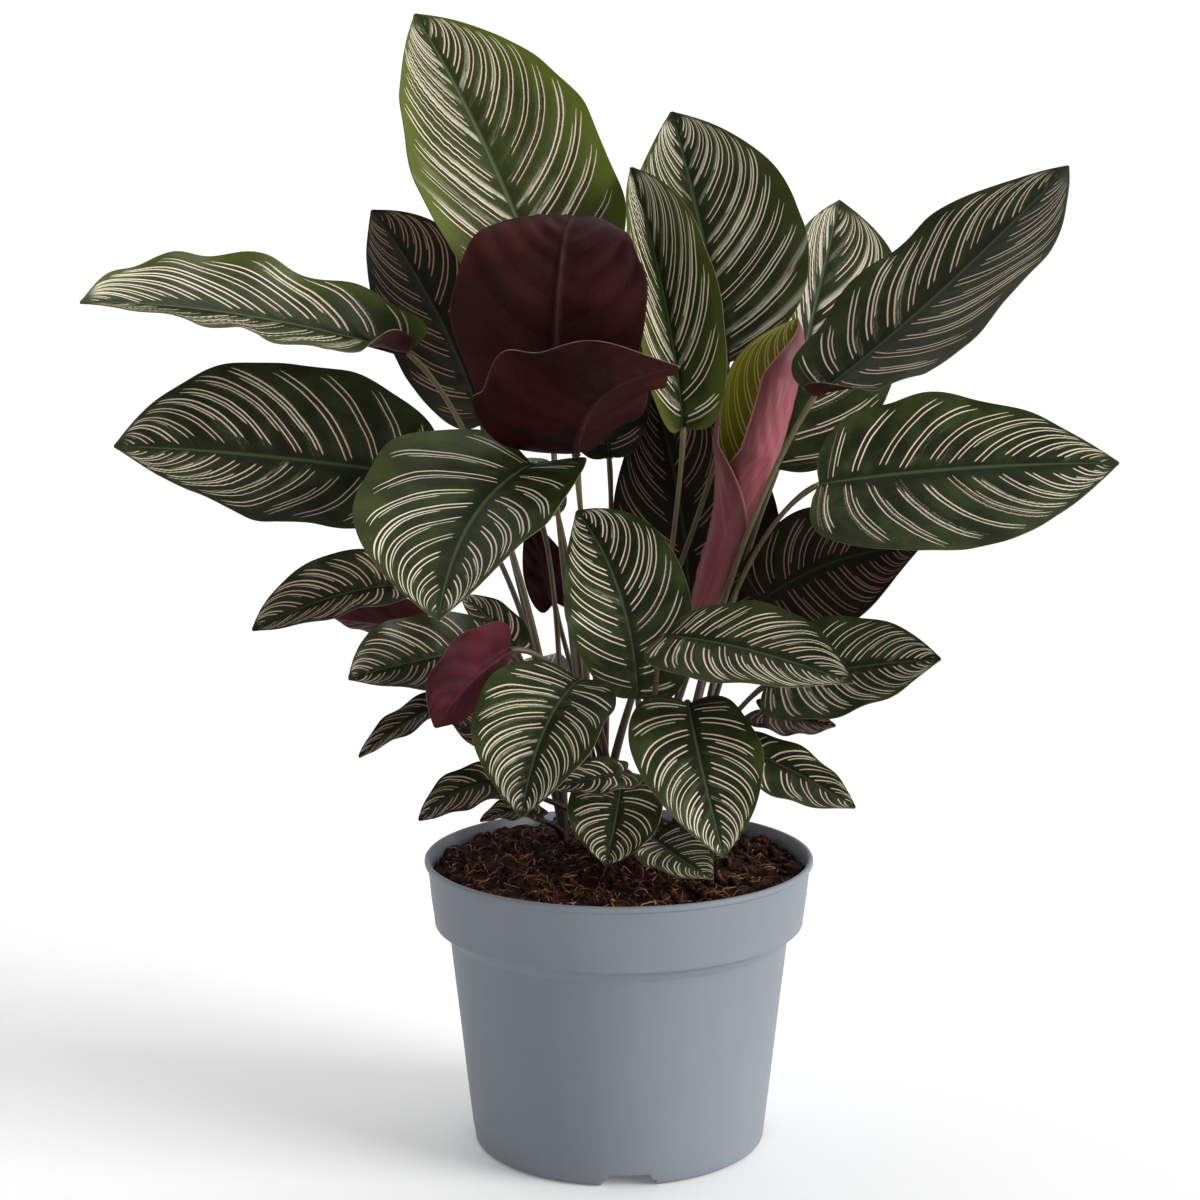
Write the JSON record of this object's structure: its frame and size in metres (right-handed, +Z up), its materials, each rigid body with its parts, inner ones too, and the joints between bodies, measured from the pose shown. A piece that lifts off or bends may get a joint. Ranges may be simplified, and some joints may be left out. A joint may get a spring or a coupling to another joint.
{
  "type": "potted foliage plant",
  "caption": "Pinstripe calathea in a round blue-grey nursery pot: broad pointed leaves on thin stalks that rise from shoots in the potting soil.",
  "frame": {"origin": "middle of the pot's foot, on the surface it stands on", "axes": "+Z up through the middle of the pot; the plant's fullest side faces -Y, with +X to the viewer's right"},
  "size_m": [0.4813, 0.2868, 0.5513],
  "materials": {
    "plastic": "satin moulded polypropylene, blue grey",
    "peat": "damp potting soil of peat and coir, rough",
    "stem": "olive-brown stalks, satin",
    "foliage": "leaf blades, semi-gloss, striped above and burgundy below"
  },
  "bodies": {
    "root": {"pot": "plastic", "soil": "peat", "shoot_left": "stem", "shoot_front_left": "stem", "shoot_front": "stem", "shoot_front_right": "stem", "shoot_right": "stem", "shoot_back_right": "stem", "shoot_centre": "stem", "shoot_back": "stem", "leaf_tall_left": "foliage", "leaf_top_right": "foliage", "leaf_top_centre": "foliage", "leaf_behind_right": "foliage", "leaf_far_right_high": "foliage", "leaf_under_upper": "foliage", "leaf_under_lower": "foliage", "leaf_dark_left": "foliage", "leaf_far_left_high": "foliage", "leaf_left": "foliage", "leaf_round_left": "foliage", "leaf_rolled": "foliage", "leaf_right": "foliage", "leaf_dark_right": "foliage", "leaf_dark_centre": "foliage", "leaf_front_centre": "foliage", "leaf_low_right": "foliage", "leaf_low_far_right": "foliage", "leaf_brown_right": "foliage", "leaf_bottom_right": "foliage", "leaf_hanging_right": "foliage", "leaf_hanging_left": "foliage", "leaf_small_front": "foliage", "leaf_small_right": "foliage", "leaf_small_left": "foliage", "leaf_low_far_left": "foliage", "leaf_under_left": "foliage", "leaf_low_left": "foliage", "leaf_under_low_left": "foliage", "leaf_narrow_left": "foliage", "leaf_bottom_left": "foliage", "leaf_behind_round": "foliage", "leaf_behind_hanging": "foliage", "leaf_over_soil": "foliage", "leaf_under_centre": "foliage", "leaf_back_left": "foliage", "leaf_back_centre": "foliage", "leaf_back_right": "foliage", "leaf_back_low_left": "foliage", "leaf_back_low_right": "foliage", "leaf_back_upright": "foliage"}
  },
  "joints": []
}
